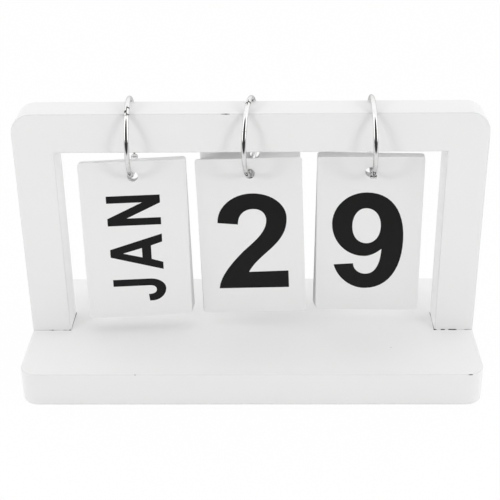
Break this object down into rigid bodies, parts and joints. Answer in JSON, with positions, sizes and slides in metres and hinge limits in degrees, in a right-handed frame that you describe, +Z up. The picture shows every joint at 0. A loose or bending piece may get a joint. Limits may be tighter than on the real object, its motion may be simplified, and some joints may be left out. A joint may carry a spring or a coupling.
{
  "type": "perpetual desk calendar",
  "caption": "White painted wooden desk stand with an arch over a base board, whose beam carries book rings with decks of flip cards for the month and the two digits of the day.",
  "frame": {"origin": "centre of the base's underside, where it stands on the desk", "axes": "+X along the beam, towards the ones cards on the viewer's right; +Y to the back, away from the side on which the date is read; +Z up"},
  "size_m": [0.23, 0.098, 0.1429],
  "materials": {
    "painted_wood": "white satin paint over wood or fibreboard, with fine cracks and small chips at the joints",
    "dowel_wood": "raw hardwood, hidden inside the joints",
    "screw_steel": "zinc-plated",
    "chrome_wire": "bright nickel or chrome plating",
    "rivet_steel": "plated rivet with flat heads",
    "card": "matte white card with dark printed lettering"
  },
  "bodies": {
    "stand": {"base_board": "painted_wood", "left_post": "painted_wood", "right_post": "painted_wood", "top_beam": "painted_wood", "base_dowels": "dowel_wood", "beam_dowels": "dowel_wood", "base_screws": "screw_steel"},
    "month_ring": {"month_ring_carrier": "chrome_wire", "month_ring_pin": "rivet_steel"},
    "month_clasp": {"month_ring_clasp": "chrome_wire"},
    "month_deck": {"february_card": "card", "march_card": "card", "april_card": "card", "may_card": "card", "june_card": "card", "july_card": "card", "august_card": "card", "september_card": "card", "october_card": "card", "november_card": "card"},
    "month_front_card": {"january_card": "card"},
    "month_rear_card": {"december_card": "card"},
    "tens_ring": {"tens_ring_carrier": "chrome_wire", "tens_ring_pin": "rivet_steel"},
    "tens_clasp": {"tens_ring_clasp": "chrome_wire"},
    "tens_deck": {"tens_card_3": "card"},
    "tens_front_card": {"tens_card_2": "card"},
    "tens_turned_cards": {"tens_card_0": "card", "tens_card_1": "card"},
    "ones_ring": {"ones_ring_carrier": "chrome_wire", "ones_ring_pin": "rivet_steel"},
    "ones_clasp": {"ones_ring_clasp": "chrome_wire"},
    "ones_deck": {"ones_card_0": "card", "ones_card_1": "card", "ones_card_2": "card", "ones_card_3": "card", "ones_card_4": "card", "ones_card_5": "card", "ones_card_6": "card", "ones_card_7": "card"},
    "ones_front_card": {"ones_card_9": "card"},
    "ones_rear_card": {"ones_card_8": "card"}
  },
  "joints": [
    {"name": "month_ring_slide", "type": "slide", "parent": "stand", "child": "month_ring", "axis": [1, 0, 0], "range_m": [-0.003, 0.003]},
    {"name": "month_ring_open", "type": "hinge", "parent": "month_ring", "child": "month_clasp", "pos_m": [-0.0588, 0.0141, 0.1074], "axis": [0.9999, 0.014, -0.0052], "range_deg": [-70, 0]},
    {"name": "month_deck_swing", "type": "hinge", "parent": "month_ring", "child": "month_deck", "pos_m": [-0.05855, 0.002, 0.12288], "axis": [0.9999, 0.014, -0.0052], "range_deg": [-6, 6]},
    {"name": "month_front_flip", "type": "hinge", "parent": "month_deck", "child": "month_front_card", "pos_m": [-0.05855, 0.002, 0.12288], "axis": [-0.9999, -0.014, 0.0052], "range_deg": [0, 100]},
    {"name": "month_rear_flip", "type": "hinge", "parent": "month_deck", "child": "month_rear_card", "pos_m": [-0.05855, 0.002, 0.12288], "axis": [0.9999, 0.014, -0.0052], "range_deg": [0, 100]},
    {"name": "tens_ring_slide", "type": "slide", "parent": "stand", "child": "tens_ring", "axis": [1, 0, 0], "range_m": [-0.003, 0.003]},
    {"name": "tens_ring_open", "type": "hinge", "parent": "tens_ring", "child": "tens_clasp", "pos_m": [0.00226, 0.01918, 0.11365], "axis": [0.9903, -0.1392, 0], "range_deg": [-70, 0]},
    {"name": "tens_deck_swing", "type": "hinge", "parent": "tens_ring", "child": "tens_deck", "pos_m": [-0.00015, 0.002, 0.12288], "axis": [0.9962, -0.0872, 0], "range_deg": [-6, 0.5]},
    {"name": "tens_front_flip", "type": "hinge", "parent": "tens_deck", "child": "tens_front_card", "pos_m": [-0.00015, 0.002, 0.12288], "axis": [-0.9962, 0.0872, 0], "range_deg": [0, 100]},
    {"name": "tens_turned_twist", "type": "hinge", "parent": "tens_ring", "child": "tens_turned_cards", "pos_m": [0.00195, 0.01443, 0.10889], "axis": [0, 0, 1], "range_deg": [-15, 0]},
    {"name": "ones_ring_slide", "type": "slide", "parent": "stand", "child": "ones_ring", "axis": [1, 0, 0], "range_m": [-0.003, 0.003]},
    {"name": "ones_ring_open", "type": "hinge", "parent": "ones_ring", "child": "ones_clasp", "pos_m": [0.06015, -0.00488, 0.10448], "axis": [-0.9995, -0.0105, -0.0314], "range_deg": [-70, 0]},
    {"name": "ones_deck_swing", "type": "hinge", "parent": "ones_ring", "child": "ones_deck", "pos_m": [0.0595, 0.002, 0.12288], "axis": [0.9995, 0.0105, 0.0314], "range_deg": [-6, 6]},
    {"name": "ones_front_flip", "type": "hinge", "parent": "ones_deck", "child": "ones_front_card", "pos_m": [0.0595, 0.002, 0.12288], "axis": [-0.9995, -0.0105, -0.0314], "range_deg": [0, 100]},
    {"name": "ones_rear_flip", "type": "hinge", "parent": "ones_deck", "child": "ones_rear_card", "pos_m": [0.0595, 0.002, 0.12288], "axis": [0.9995, 0.0105, 0.0314], "range_deg": [0, 85]}
  ]
}
